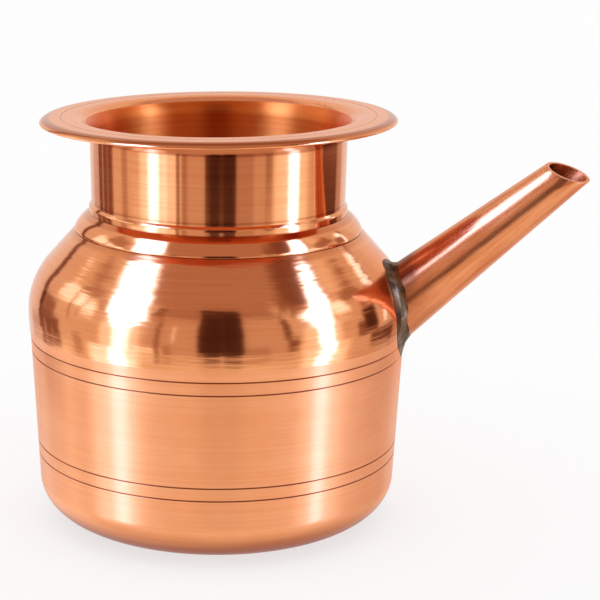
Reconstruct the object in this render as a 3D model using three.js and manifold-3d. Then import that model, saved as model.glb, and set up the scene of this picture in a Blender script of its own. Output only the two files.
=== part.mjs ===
// Spouted lota: a spun copper pot with a straight pouring spout.
// Millimetres. The origin is the centre of the base's underside, +Z is up and the spout points along +X.
import * as THREE from "three";
import { mergeVertices } from "three/addons/utils/BufferGeometryUtils.js";
import Module from "manifold-3d";

const wasm = await Module();
wasm.setup();

// Sheet and clearances
const BODY_SHEET = 0.7;
const NECK_SHEET = 0.7;
const SPOUT_SHEET = 0.75;
const JOINT_GAP = 0.3;

// Body: base, corner, wall, belly and shoulder
const BASE_FLAT_RADIUS = 32;
const CORNER_WIDTH = 15.9;
const CORNER_HEIGHT = 12;
const WALL_TOP_RADIUS = 49.95;
const WALL_TOP_HEIGHT = 50.3;
const BELLY_RADIUS = 50.5;
const BELLY_HEIGHT = 57.3;
const KNUCKLE_RADIUS = 20.2;
const SHOULDER_LEAN = THREE.MathUtils.degToRad(41.5);

// Scribed lines round the wall, in two pairs
const UPPER_PAIR_HEIGHT = 50.3;
const LOWER_PAIR_HEIGHT = 22.3;
const PAIR_SPACING = 3.4;
const SCRIBE_WIDTH = 0.5;
const SCRIBE_DEPTH = 0.2;

// Neck: sloped skirt over the shoulder, ledge, bead, straight neck, throat and flange
const SKIRT_FOOT_RADIUS = 38.05;
const SKIRT_FOOT_HEIGHT = 79.2;
const SKIRT_BROW_RADIUS = 35.6;
const SKIRT_BROW_HEIGHT = 82.55;
const SKIRT_BULGE = 0.15;
const CREASE_RADIUS = 34.2;
const CREASE_HEIGHT = 83.75;
const BEAD_HEIGHT = 1.55;
const BEAD_SLOPE_HEIGHT = 0.85;
const NECK_FOOT_RADIUS = 33.6;
const NECK_TOP_RADIUS = 33.9;
const THROAT_HEIGHT = 103.9;
const THROAT_RADIUS = 4.6;
const FLANGE_FLAT_RADIUS = 44.5;
const FLANGE_DROOP = 0.05;
const LIP_RADIUS = 3.2;
const LIP_TURN = THREE.MathUtils.degToRad(50);

// Spout: straight tapered tube with a mouth cut close to level
const SPOUT_ELEVATION = THREE.MathUtils.degToRad(40);
const SPOUT_AXIS_X = 49;
const SPOUT_AXIS_Z = 61.35;
const SPOUT_ROOT_RADIUS = 8.85;
const SPOUT_TAPER = 0.0654;
const SPOUT_LENGTH = 55.8;
const SPOUT_RUN_IN = 18;
const SPOUT_RUN_OUT = 8;
const MOUTH_TILT = THREE.MathUtils.degToRad(20);
const MOUTH_SKEW = THREE.MathUtils.degToRad(10);

// Solder fillets
const SOLDER_LEG_ON_BODY = 3.4;
const SOLDER_LEG_ON_SPOUT = 2.6;
const SOLDER_HOLLOW = 0.35;
const NECK_SOLDER_LEG = 2.2;

// Facets
const RING_SEGMENTS = 64;
const SPOUT_SEGMENTS = 40;
const ARC_STEP = THREE.MathUtils.degToRad(11.25);

// A point on a circle, or on an ellipse when the height radius differs.
function onArc(centre, radius, angle, heightRadius = radius) {
  return new THREE.Vector2(
    centre.x + radius * Math.cos(angle),
    centre.y + heightRadius * Math.sin(angle),
  );
}

// The points of an arc from one angle to the other, both ends included.
function arcPoints(centre, radius, from, to, heightRadius = radius) {
  const steps = Math.max(2, Math.ceil(Math.abs(to - from) / ARC_STEP));
  return Array.from({ length: steps + 1 }, (_, i) =>
    onArc(centre, radius, from + ((to - from) * i) / steps, heightRadius),
  );
}

// A bulged line between two points, with its middle pushed out to the right of the way it runs.
function bulgedLine(start, end, bulge, steps) {
  const along = end.clone().sub(start);
  const right = new THREE.Vector2(along.y, -along.x).normalize();
  return Array.from({ length: steps + 1 }, (_, i) => {
    const t = i / steps;
    return start
      .clone()
      .addScaledVector(along, t)
      .addScaledVector(right, 4 * bulge * t * (1 - t));
  });
}

// The same path moved to the left of the way it runs, with its corners mitred.
function offsetLeft(path, distance) {
  const lefts = path.slice(1).map((p, i) => {
    const d = p.clone().sub(path[i]).normalize();
    return new THREE.Vector2(-d.y, d.x);
  });
  return path.map((p, i) => {
    const before = lefts[Math.max(0, i - 1)];
    const after = lefts[Math.min(i, lefts.length - 1)];
    const mitre = before.clone().add(after);
    return p.clone().addScaledVector(mitre, distance / (1 + before.dot(after)));
  });
}

// Radius of a path at a height, by the straight line between its points.
function radiusAt(path, height) {
  const i = path.findIndex((p, k) => k > 0 && p.y >= height && path[k - 1].y <= height);
  const low = path[i - 1];
  const high = path[i];
  return low.x + ((high.x - low.x) * (height - low.y)) / (high.y - low.y);
}

// A solid of revolution about Z from a closed outline of radius and height.
function turned(outline, segments) {
  const profile = [...outline, outline[0].clone()];
  const lathe = new THREE.LatheGeometry(profile, segments);
  lathe.rotateX(Math.PI / 2);
  return solid(lathe);
}

// The geometry as a manifold-3d solid, turned inside out if its faces point inwards.
function solid(geometry) {
  const bare = new THREE.BufferGeometry()
    .setAttribute("position", geometry.getAttribute("position"))
    .setIndex(geometry.index);
  const merged = mergeVertices(bare, 1e-3);
  const kept = [];
  const index = merged.index.array;
  for (let i = 0; i < index.length; i += 3) {
    const [a, b, c] = [index[i], index[i + 1], index[i + 2]];
    if (a !== b && b !== c && c !== a) kept.push(a, b, c);
  }
  const build = (triVerts) =>
    new wasm.Manifold(
      new wasm.Mesh({
        numProp: 3,
        vertProperties: new Float32Array(merged.attributes.position.array),
        triVerts: new Uint32Array(triVerts),
      }),
    );
  const made = build(kept);
  return made.volume() > 0 ? made : build(kept.reverse());
}

// The manifold-3d solid as a three.js mesh.
function meshOf(name, made, finish) {
  const data = made.getMesh();
  const positions = new Float32Array(data.numVert * 3);
  for (let i = 0; i < data.numVert; i += 1) {
    const start = i * data.numProp;
    positions.set(data.vertProperties.subarray(start, start + 3), i * 3);
  }
  const geometry = new THREE.BufferGeometry()
    .setAttribute("position", new THREE.BufferAttribute(positions, 3))
    .setIndex(new THREE.BufferAttribute(data.triVerts, 1));
  geometry.computeVertexNormals();
  const mesh = new THREE.Mesh(geometry, new THREE.MeshStandardMaterial({ ...finish, flatShading: true }));
  mesh.name = name;
  return mesh;
}

// Radius of the plain wall, from the corner up to the upper pair of lines.
function wallRadius(height) {
  const foot = BASE_FLAT_RADIUS + CORNER_WIDTH;
  const share = (height - CORNER_HEIGHT) / (WALL_TOP_HEIGHT - CORNER_HEIGHT);
  return foot + (WALL_TOP_RADIUS - foot) * share;
}

// The four points of one scribed line in the wall.
function scribedLine(height) {
  const half = SCRIBE_WIDTH / 2;
  return [
    new THREE.Vector2(wallRadius(height - half), height - half),
    new THREE.Vector2(wallRadius(height) - SCRIBE_DEPTH, height),
    new THREE.Vector2(wallRadius(height + half), height + half),
  ];
}

// The body's outside from the axis up to the ledge below the skirt, with or without its scribed lines.
function bodyShell(scribed) {
  const corner = new THREE.Vector2(BASE_FLAT_RADIUS, CORNER_HEIGHT);
  const lines = [LOWER_PAIR_HEIGHT - PAIR_SPACING, LOWER_PAIR_HEIGHT]
    .concat([UPPER_PAIR_HEIGHT - PAIR_SPACING, UPPER_PAIR_HEIGHT])
    .flatMap(scribedLine);
  const belly = new THREE.Vector2(BELLY_RADIUS, BELLY_HEIGHT);
  const bellyFoot = new THREE.Vector2(wallRadius(UPPER_PAIR_HEIGHT + SCRIBE_WIDTH), UPPER_PAIR_HEIGHT + SCRIBE_WIDTH);
  const knuckle = new THREE.Vector2(BELLY_RADIUS - KNUCKLE_RADIUS, BELLY_HEIGHT);
  const shoulder = arcPoints(knuckle, KNUCKLE_RADIUS, 0, SHOULDER_LEAN);
  const shoulderTop = shoulder[shoulder.length - 1];
  const ledgeHeight = underSkirt().y - JOINT_GAP;
  const ledgeRadius = shoulderTop.x - (ledgeHeight - shoulderTop.y) * Math.tan(SHOULDER_LEAN);
  return [
    new THREE.Vector2(0, 0),
    ...arcPoints(corner, CORNER_WIDTH, -Math.PI / 2, 0, CORNER_HEIGHT),
    ...(scribed ? lines : []),
    ...bulgedLine(bellyFoot, belly, 0.12, 3).slice(0, -1),
    ...shoulder,
    new THREE.Vector2(ledgeRadius, ledgeHeight),
  ];
}

// The skirt's outside, from its foot to the brow where the ledge begins.
function skirtSlope() {
  const foot = new THREE.Vector2(SKIRT_FOOT_RADIUS, SKIRT_FOOT_HEIGHT);
  const brow = new THREE.Vector2(SKIRT_BROW_RADIUS, SKIRT_BROW_HEIGHT);
  return bulgedLine(foot, brow, SKIRT_BULGE, 4);
}

// The lower inside corner of the skirt's cut edge.
function underSkirt() {
  return offsetLeft(skirtSlope(), NECK_SHEET)[0];
}

// The stepped-in seat that the neck's skirt laps over.
function bodySeat() {
  const slope = offsetLeft(skirtSlope(), NECK_SHEET + JOINT_GAP).slice(0, -1);
  return [new THREE.Vector2(slope[0].x, underSkirt().y - JOINT_GAP), ...slope];
}

// The neck's outside from the skirt's foot up and out to the lip, on the side that faces down.
function neckShell() {
  const crease = new THREE.Vector2(CREASE_RADIUS, CREASE_HEIGHT);
  const beadEdge = new THREE.Vector2(CREASE_RADIUS, CREASE_HEIGHT + BEAD_HEIGHT);
  const neckFoot = new THREE.Vector2(NECK_FOOT_RADIUS, beadEdge.y + BEAD_SLOPE_HEIGHT);
  const throat = new THREE.Vector2(NECK_TOP_RADIUS + THROAT_RADIUS, THROAT_HEIGHT);
  const flangeHeight = THROAT_HEIGHT + THROAT_RADIUS - FLANGE_DROOP;
  const lip = new THREE.Vector2(FLANGE_FLAT_RADIUS, flangeHeight + NECK_SHEET - LIP_RADIUS);
  return [
    ...skirtSlope(),
    crease,
    beadEdge,
    neckFoot,
    ...arcPoints(throat, THROAT_RADIUS, Math.PI, Math.PI / 2),
    ...arcPoints(lip, LIP_RADIUS - NECK_SHEET, Math.PI / 2, Math.PI / 2 - LIP_TURN),
  ];
}

// Outline of the neck's solder: it bridges the top of the seat and the inside of the neck.
function neckSolderOutline() {
  const outside = bodySeat();
  const inside = offsetLeft(outside, BODY_SHEET);
  const [below, end] = outside.slice(-2);
  const clear = end.clone().sub(below).setLength(JOINT_GAP);
  const inner = offsetLeft(neckShell(), NECK_SHEET + JOINT_GAP);
  const brow = inner[skirtSlope().length - 1];
  const ledge = inner[skirtSlope().length].clone().sub(brow).setLength(NECK_SOLDER_LEG - NECK_SHEET);
  return [inside[inside.length - 1].add(clear), end.clone().add(clear), brow, brow.clone().add(ledge)];
}

// The spout's own directions: along its axis, to its left and to its upper side.
const SPOUT_ALONG = new THREE.Vector3(Math.cos(SPOUT_ELEVATION), 0, Math.sin(SPOUT_ELEVATION));
const SPOUT_SIDE = new THREE.Vector3(0, 1, 0);
const SPOUT_UP = new THREE.Vector3().crossVectors(SPOUT_ALONG, SPOUT_SIDE);
const SPOUT_START = new THREE.Vector3(SPOUT_AXIS_X, 0, SPOUT_AXIS_Z);

// Outer radius of the spout at a distance along its axis.
function spoutRadius(along) {
  return SPOUT_ROOT_RADIUS - SPOUT_TAPER * along;
}

// A point at a distance along the spout's axis, out from the axis by a radius at an angle.
function spoutPoint(along, radius, angle) {
  return SPOUT_START.clone()
    .addScaledVector(SPOUT_ALONG, along)
    .addScaledVector(SPOUT_SIDE, radius * Math.cos(angle))
    .addScaledVector(SPOUT_UP, radius * Math.sin(angle));
}

// A solid turned about the spout's axis from a closed outline of radius and distance along.
function turnedOnSpout(outline) {
  const lathe = new THREE.LatheGeometry([...outline, outline[0].clone()], SPOUT_SEGMENTS);
  const toSpout = new THREE.Matrix4()
    .makeBasis(SPOUT_UP, SPOUT_ALONG, SPOUT_SIDE)
    .setPosition(SPOUT_START);
  lathe.applyMatrix4(toSpout);
  return solid(lathe);
}

// The whole space that the spout's bore takes, from inside the body to past the mouth.
function spoutBore() {
  const from = -SPOUT_RUN_IN;
  const to = SPOUT_LENGTH + SPOUT_RUN_OUT;
  return turnedOnSpout([
    new THREE.Vector2(0, from),
    new THREE.Vector2(spoutRadius(from) - SPOUT_SHEET, from),
    new THREE.Vector2(spoutRadius(to) - SPOUT_SHEET, to),
    new THREE.Vector2(0, to),
  ]);
}

// The tube before its ends are cut.
function spoutBlank() {
  const from = -SPOUT_RUN_IN;
  const to = SPOUT_LENGTH + SPOUT_RUN_OUT;
  return turnedOnSpout([
    new THREE.Vector2(spoutRadius(from) - SPOUT_SHEET, from),
    new THREE.Vector2(spoutRadius(from), from),
    new THREE.Vector2(spoutRadius(to), to),
    new THREE.Vector2(spoutRadius(to) - SPOUT_SHEET, to),
  ]);
}

// A block whose underside is the plane of the spout's mouth.
function mouthCut() {
  const side = 4 * SPOUT_ROOT_RADIUS;
  const block = new THREE.BoxGeometry(side, side, side);
  block.translate(0, 0, side / 2);
  const facing = new THREE.Vector3(
    Math.sin(MOUTH_TILT) * Math.cos(MOUTH_SKEW),
    -Math.sin(MOUTH_SKEW),
    Math.cos(MOUTH_TILT) * Math.cos(MOUTH_SKEW),
  );
  const turn = new THREE.Quaternion().setFromUnitVectors(new THREE.Vector3(0, 0, 1), facing);
  const place = SPOUT_START.clone().addScaledVector(SPOUT_ALONG, SPOUT_LENGTH);
  block.applyMatrix4(new THREE.Matrix4().compose(place, turn, new THREE.Vector3(1, 1, 1)));
  return solid(block);
}

// The body's outside grown by the joint's gap and filled solid, to cut the spout's root to the wall.
function bodyEnvelope() {
  const grown = offsetLeft(bodyShell(false), -JOINT_GAP);
  const top = grown[grown.length - 1];
  return turned([...grown, new THREE.Vector2(0, top.y)], RING_SEGMENTS);
}

// How far along the spout a line on its outside meets the body, a gap away from it.
function rootDistance(angle, shell) {
  let low = -SPOUT_RUN_IN;
  let high = SPOUT_RUN_IN;
  for (let i = 0; i < 40; i += 1) {
    const middle = (low + high) / 2;
    const p = spoutPoint(middle, spoutRadius(middle) + JOINT_GAP, angle);
    const outside = Math.hypot(p.x, p.y) > radiusAt(shell, p.z);
    if (outside) high = middle;
    else low = middle;
  }
  return high;
}

// The point moved along the body's surface away from the spout, then laid a gap off that surface.
function footOnBody(corner, away, leg, shell) {
  const moved = corner.clone().addScaledVector(away, leg);
  const around = Math.hypot(moved.x, moved.y);
  const wanted = radiusAt(shell, moved.z);
  return new THREE.Vector3((moved.x * wanted) / around, (moved.y * wanted) / around, moved.z);
}

// A closed ring whose section changes on the way round, from rows of points.
function ringOfSections(sections) {
  const count = sections.length;
  const size = sections[0].length;
  const index = [];
  for (let i = 0; i < count; i += 1) {
    const next = (i + 1) % count;
    for (let k = 0; k < size; k += 1) {
      const m = (k + 1) % size;
      index.push(i * size + k, next * size + k, next * size + m);
      index.push(i * size + k, next * size + m, i * size + m);
    }
  }
  const positions = sections.flat().flatMap((p) => p.toArray());
  return new THREE.BufferGeometry()
    .setAttribute("position", new THREE.Float32BufferAttribute(positions, 3))
    .setIndex(index);
}

// The drawn and spun vessel, pierced where the spout stands.
function vesselBody() {
  const outside = [...bodyShell(true), ...bodySeat()];
  const inside = offsetLeft([...bodyShell(false), ...bodySeat()], BODY_SHEET);
  const made = turned([...outside, ...inside.reverse()], RING_SEGMENTS);
  return made.subtract(spoutBore());
}

// The spun neck with its skirt, bead, throat and flange in one sheet.
function neckAndRim() {
  const outside = neckShell();
  const inside = offsetLeft(outside, NECK_SHEET);
  return turned([...outside, ...inside.reverse()], RING_SEGMENTS);
}

// The tapered tube, cut to the wall at its root and nearly level at its mouth.
function spoutTube() {
  return spoutBlank().subtract(bodyEnvelope()).subtract(mouthCut());
}

// The lumpy fillet of solder round the spout's root, hollowed between its two legs.
function spoutSolder() {
  const shell = offsetLeft(bodyShell(false), -JOINT_GAP);
  const sections = Array.from({ length: SPOUT_SEGMENTS }, (_, i) => {
    const angle = (2 * Math.PI * i) / SPOUT_SEGMENTS;
    const along = rootDistance(angle, shell);
    const corner = spoutPoint(along, spoutRadius(along) + JOINT_GAP, angle);
    const outward = new THREE.Vector3(corner.x, corner.y, 0).normalize();
    const away = spoutPoint(0, 1, angle).sub(SPOUT_START);
    away.addScaledVector(outward, -away.dot(outward)).normalize();
    const onBody = footOnBody(corner, away, SOLDER_LEG_ON_BODY, shell);
    const up = along + SOLDER_LEG_ON_SPOUT;
    const onSpout = spoutPoint(up, spoutRadius(up) + JOINT_GAP, angle);
    const middle = onBody.clone().add(onSpout).multiplyScalar(0.5);
    middle.lerp(corner, SOLDER_HOLLOW);
    return [corner, onBody, middle, onSpout];
  });
  return solid(ringOfSections(sections));
}

// The ring of solder inside the lap of neck and body.
function neckSolder() {
  return turned(neckSolderOutline(), RING_SEGMENTS);
}

const SATIN_COPPER = { color: 0xd98a5f, roughness: 0.32, metalness: 1 };
const BRIGHT_COPPER = { color: 0xe0936a, roughness: 0.18, metalness: 1 };
const DULL_SOLDER = { color: 0x77706a, roughness: 0.5, metalness: 0.9 };

const lota = new THREE.Group();
lota.name = "spouted_lota";
lota.add(meshOf("vessel_body", vesselBody(), SATIN_COPPER));
lota.add(meshOf("neck_and_rim", neckAndRim(), BRIGHT_COPPER));
lota.add(meshOf("spout", spoutTube(), BRIGHT_COPPER));
lota.add(meshOf("spout_solder", spoutSolder(), DULL_SOLDER));
lota.add(meshOf("neck_solder", neckSolder(), DULL_SOLDER));

export default lota;
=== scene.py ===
"""Looks of the spouted lota: spun copper vessel, neck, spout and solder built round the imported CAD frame.

Everything is in metres. The origin is the centre of the base's underside, +Z is up and the spout points
along +X.
"""

import logging
import math
from dataclasses import dataclass, field
from enum import Enum
from functools import cached_property
from typing import Any, Callable, Iterable, Sequence

import bpy
from mathutils import Matrix, Vector, noise


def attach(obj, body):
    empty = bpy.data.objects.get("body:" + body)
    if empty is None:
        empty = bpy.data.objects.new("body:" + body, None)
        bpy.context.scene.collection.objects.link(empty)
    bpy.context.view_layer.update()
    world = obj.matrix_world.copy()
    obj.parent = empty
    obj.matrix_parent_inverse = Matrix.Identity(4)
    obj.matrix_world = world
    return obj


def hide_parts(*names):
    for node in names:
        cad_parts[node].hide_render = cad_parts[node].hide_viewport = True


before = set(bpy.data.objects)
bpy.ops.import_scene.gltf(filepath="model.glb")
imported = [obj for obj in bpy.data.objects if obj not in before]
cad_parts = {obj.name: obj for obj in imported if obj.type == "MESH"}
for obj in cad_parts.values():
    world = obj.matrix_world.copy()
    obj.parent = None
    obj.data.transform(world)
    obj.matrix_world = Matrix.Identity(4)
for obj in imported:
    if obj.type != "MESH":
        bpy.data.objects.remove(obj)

log = logging.getLogger("lota")

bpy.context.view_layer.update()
UP = Vector((0.0, 0.0, 1.0))
FULL_TURN = 2 * math.pi
DEGREES = 180 / math.pi
WELD = 2e-6
HALVINGS = 30
EDGE_ANGLES = (-60, -30, 0, 30, 60)
INNER_SKIN = 0.6  # share of the sheet's thickness past which a face belongs to its inner side
NOISE_SHIFT = Vector((7.0, 3.0, 1.0))

Colour = tuple[float, float, float]
# Painted shade: the dark red laid in the crevice under the skirt and on the neck's brow.
PAINTED_CREASE_SHADE: Colour = (0.5, 0.10, 0.02)


class Ring(Enum):
    """Number of facets round a turned piece."""

    VESSEL = 240
    SPOUT = 120
    PLUG = 64


def at(x: float, y: float) -> Any:
    """Return a dataclass field that holds a place, in radius and height."""
    return field(default_factory=lambda: Vector((x, y)))


# Sums in node trees


@dataclass(frozen=True)
class Value:
    """A number in a node tree: an output socket on which sums can be written."""

    graph: "Graph"
    socket: bpy.types.NodeSocket

    def _sum(self, operation: str, first: Any, second: Any) -> "Value":
        """Add one Math node."""
        node = self.graph.add("ShaderNodeMath", {"operation": operation}, {0: first, 1: second})
        return Value(self.graph, node.outputs[0])

    def __add__(self, other: Any) -> "Value":
        """Return self + other."""
        return self._sum("ADD", self, other)

    __radd__ = __add__

    def __sub__(self, other: Any) -> "Value":
        """Return self - other."""
        return self._sum("SUBTRACT", self, other)

    def __rsub__(self, other: Any) -> "Value":
        """Return other - self."""
        return self._sum("SUBTRACT", other, self)

    def __mul__(self, other: Any) -> "Value":
        """Return self * other."""
        return self._sum("MULTIPLY", self, other)

    __rmul__ = __mul__

    def __truediv__(self, other: Any) -> "Value":
        """Return self / other."""
        return self._sum("DIVIDE", self, other)

    def __pow__(self, other: Any) -> "Value":
        """Return self ** other."""
        return self._sum("POWER", self, other)

    def most(self, other: Any) -> "Value":
        """Return the larger of the two."""
        return self._sum("MAXIMUM", self, other)

    def size(self) -> "Value":
        """Return the absolute value."""
        return self._sum("ABSOLUTE", self, 0.0)

    def root(self) -> "Value":
        """Return the square root."""
        return self._sum("SQRT", self, 0.0)

    def rises(self, start: Any, end: Any) -> "Value":
        """Return a smooth step from 0 at start to 1 at end, which may lie below start."""
        node = self.graph.add(
            "ShaderNodeMapRange",
            {"interpolation_type": "SMOOTHSTEP"},
            {"Value": self, "From Min": start, "From Max": end},
        )
        return Value(self.graph, node.outputs[0])

    def within(self, low: float, high: float, soft: float) -> "Value":
        """Return 1 between low and high and 0 outside, with edges of the given softness."""
        half = (high - low) / 2
        return (self - (low + high) / 2).size().rises(half + soft, half - soft)

    def between(self, first: Any, second: Any) -> "Value":
        """Return first where this share is 0 and second where it is 1."""
        node = self.graph.add("ShaderNodeMix", {"data_type": "FLOAT"}, {0: self, 2: first, 3: second})
        return Value(self.graph, node.outputs[0])


class Graph:
    """A node tree with one method for every node and short names for the usual ones."""

    def __init__(self, tree: bpy.types.NodeTree) -> None:
        """Empty the tree and keep it.

        Args:
            tree: The tree of a material or of the world.
        """
        self.tree = tree
        tree.nodes.clear()

    @staticmethod
    def material(name: str) -> tuple[bpy.types.Material, "Graph"]:
        """Return a new material and its empty tree.

        Args:
            name: The material's name.

        Returns:
            The material and its tree.
        """
        made = bpy.data.materials.new(name)
        made.use_nodes = True
        return made, Graph(made.node_tree)

    def add(self, kind: str, settings: dict[str, Any], inputs: dict[Any, Any]) -> bpy.types.Node:
        """Add a node, make its settings and then fill its sockets.

        Args:
            kind: The node's type, such as ShaderNodeMath.
            settings: Properties of the node.
            inputs: Socket name or number to a Value, a socket, a number or a colour.

        Returns:
            The new node.
        """
        node = self.tree.nodes.new(kind)
        for name, setting in settings.items():
            setattr(node, name, setting)
        for name, given in inputs.items():
            target = node.inputs[name]
            if isinstance(given, Value):
                self.tree.links.new(given.socket, target)
            elif isinstance(given, bpy.types.NodeSocket):
                self.tree.links.new(given, target)
            else:
                target.default_value = given
        return node

    def value(self, node: bpy.types.Node, output: Any = 0) -> Value:
        """Wrap one output of a node."""
        return Value(self, node.outputs[output])

    def parts(self, vector: bpy.types.NodeSocket) -> tuple[Value, Value, Value]:
        """Split a vector into its three numbers."""
        node = self.add("ShaderNodeSeparateXYZ", {}, {0: vector})
        return self.value(node, 0), self.value(node, 1), self.value(node, 2)

    def vector(self, x: Any, y: Any, z: Any) -> bpy.types.NodeSocket:
        """Join three numbers into a vector."""
        return self.add("ShaderNodeCombineXYZ", {}, {0: x, 1: y, 2: z}).outputs[0]

    def colour(self, red: Any, green: Any, blue: Any) -> bpy.types.NodeSocket:
        """Join three numbers into a colour."""
        return self.add("ShaderNodeCombineColor", {}, {0: red, 1: green, 2: blue}).outputs[0]

    def blend(self, share: Any, first: Any, second: Any) -> bpy.types.NodeSocket:
        """Mix two colours by a share."""
        settings = {"data_type": "RGBA"}
        return self.add("ShaderNodeMix", settings, {0: share, 6: first, 7: second}).outputs[2]

    def noise(self, vector: Any, w: Any, detail: float) -> Value:
        """Return four-dimensional noise from 0 to 1."""
        inputs = {"Vector": vector, "W": w, "Scale": 1.0, "Detail": detail}
        return self.value(self.add("ShaderNodeTexNoise", {"noise_dimensions": "4D"}, inputs))

    def cloud(
        self, place: Sequence[Value], scale: float, w: float, detail: float, rise: float = 0.0
    ) -> Value:
        """Return noise in space.

        Args:
            place: The place on the surface.
            scale: How fine the noise is, per metre.
            w: Which of the many noises it is.
            detail: How many finer layers it has.
            rise: How fine it is upwards, or 0 for the same as across.

        Returns:
            A value from 0 to 1.
        """
        x, y, z = place
        return self.noise(self.vector(x * scale, y * scale, z * (rise or scale)), w, detail)

    def bump(self, height: Value, strength: float = 1.0) -> bpy.types.NodeSocket:
        """Turn a height in metres into a normal."""
        inputs = {"Strength": strength, "Distance": 1.0, "Height": height}
        return self.add("ShaderNodeBump", {}, inputs).outputs[0]

    def metal(self, inputs: dict[str, Any]) -> bpy.types.NodeSocket:
        """Return a metal surface with the given sockets filled."""
        return self.add("ShaderNodeBsdfPrincipled", {}, inputs).outputs[0]

    def surface(self, shader: bpy.types.NodeSocket) -> None:
        """Send a shader to the material's output."""
        self.add("ShaderNodeOutputMaterial", {}, {"Surface": shader})

    def place(self) -> tuple[Value, Value, Value]:
        """Return the place on the surface, in Object coordinates."""
        return self.parts(self.add("ShaderNodeTexCoord", {}, {}).outputs["Object"])


# Finishes


class Measure(Enum):
    """What the place of a ring on a turned piece is measured by."""

    HEIGHT = "height"
    RADIUS = "radius"


class Grain(Enum):
    """Which way the lines of a finish run."""

    RINGS = "rings"
    LENGTHWISE = "lengthwise"


@dataclass(frozen=True)
class RingMark:
    """A dark ring round a turned piece, for tarnish and for painted shade: its place, half its width,
    softness and strength.
    """

    place: float
    half: float = 0.00018
    soft: float = 0.00007
    strength: float = 0.9
    colour: Colour = (0.24, 0.028, 0.0)
    measure: Measure = Measure.HEIGHT

    def draw(
        self, graph: Graph, z: Value, around: Value, colour: bpy.types.NodeSocket
    ) -> bpy.types.NodeSocket:
        """Lay the ring over a colour.

        Args:
            graph: The material's tree.
            z: The height on the surface.
            around: The distance from the axis.
            colour: The colour so far.

        Returns:
            The new colour.
        """
        across = z if self.measure is Measure.HEIGHT else around
        mark = (across - self.place).size().rises(self.half + self.soft, self.half - self.soft)
        return graph.blend(mark * self.strength, colour, (*self.colour, 1))


@dataclass(frozen=True)
class CopperFinish:
    """A turned copper surface: its colours, gloss and the lines that the tool and the buff left round it."""

    name: str
    light: Colour = (0.96, 0.405, 0.168)
    dark: Colour = (0.93, 0.35, 0.137)
    haze: float = 0.02
    haze_roughness: float = 0.6
    roughness: float = 0.2
    roughness_swing: float = 0.08
    anisotropy: float = 0.6
    line_pitch: float = 0.0006
    line_depth: float = 1.5e-6
    wave_pitch: float = 0.004
    wave_depth: float = 4e-6
    run: float = 14.0
    grain: Grain = Grain.RINGS
    tilt: float = 0.0
    marks: tuple[RingMark, ...] = ()
    stain: float = 0.0
    stain_colour: Colour = (0.42, 0.15, 0.06)
    shade_edges: tuple[float, float] = (0.38, 0.62)
    blot_edges: tuple[float, float] = (0.56, 0.72)
    blot_scale: float = 150.0
    cloud_scale: float = 60.0
    quarter_turn: float = 0.25
    least_roughness: float = 0.02
    haze_swing: float = 0.4
    haze_metal: float = 0.55

    def make(self, heat_and_reflection: "HeatTintAndPaintedReflection | None" = None) -> bpy.types.Material:
        """Build the material.

        Args:
            heat_and_reflection: Where the solderer's flame has coloured the copper, with painted reflection
                on the spout, or None.

        Returns:
            The material.
        """
        material, graph = Graph.material(self.name)
        x, y, z = graph.place()
        around = (x * x + y * y).root()
        lines = self._rings(graph, (x, y, z, around), self.line_pitch, 4.0)
        waves = self._rings(graph, (x, y, z, around), self.wave_pitch, 2.0)
        cloud = graph.cloud((x, y, z), self.cloud_scale, 3.0, 3.0)
        shade = (lines * 0.5 + waves * 0.2 + cloud * 0.3).rises(*self.shade_edges)
        colour = graph.blend(shade, (*self.dark, 1), (*self.light, 1))
        if self.stain > 0:
            blot = graph.cloud((x, y, z), self.blot_scale, 9.0, 4.0).rises(*self.blot_edges)
            colour = graph.blend(blot * self.stain, colour, (*self.stain_colour, 1))
        for mark in self.marks:
            colour = mark.draw(graph, z, around, colour)
        swing = (lines - 0.5) * 2 + (cloud - 0.5)
        rough = self.roughness + swing * self.roughness_swing
        if heat_and_reflection is not None:
            colour, rough = heat_and_reflection.apply(graph, (x, y, z), colour, rough)
        normal = graph.bump((lines - 0.5) * self.line_depth + (waves - 0.5) * self.wave_depth)
        polish = graph.metal(
            {
                "Base Color": colour,
                "Metallic": 1.0,
                "Roughness": rough.most(self.least_roughness),
                "Anisotropic": self.anisotropy,
                "Anisotropic Rotation": self.quarter_turn,
                "Normal": normal,
            }
        )
        haze = {"Metallic": self.haze_metal, "Roughness": self.haze_roughness}
        scratches = graph.metal({"Base Color": colour, "Normal": normal, **haze})
        share = (self.haze + (cloud - 0.5) * self.haze * self.haze_swing).most(0.0)
        both = graph.add("ShaderNodeMixShader", {}, {0: share, 1: polish, 2: scratches})
        graph.surface(both.outputs[0])
        return material

    def _rings(self, graph: Graph, place: Sequence[Value], pitch: float, detail: float) -> Value:
        """Return noise that runs in rings round the Z axis, or along a tube that rises by the tilt.

        Args:
            graph: The material's tree.
            place: X, Y, Z and the distance from the axis.
            pitch: How far apart the lines are.
            detail: How many finer layers there are.

        Returns:
            A value from 0 to 1.
        """
        x, y, z, around = place
        if self.grain is Grain.LENGTHWISE:
            tilt = math.radians(self.tilt)
            across = z * math.cos(tilt) - x * math.sin(tilt)
            along = x * math.cos(tilt) + z * math.sin(tilt)
            return graph.noise(graph.vector(y / pitch, across / pitch, along * self.run), 2.0, detail)
        return graph.noise(graph.vector(around / pitch, z / pitch, x * self.run), y * self.run, detail)


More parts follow.
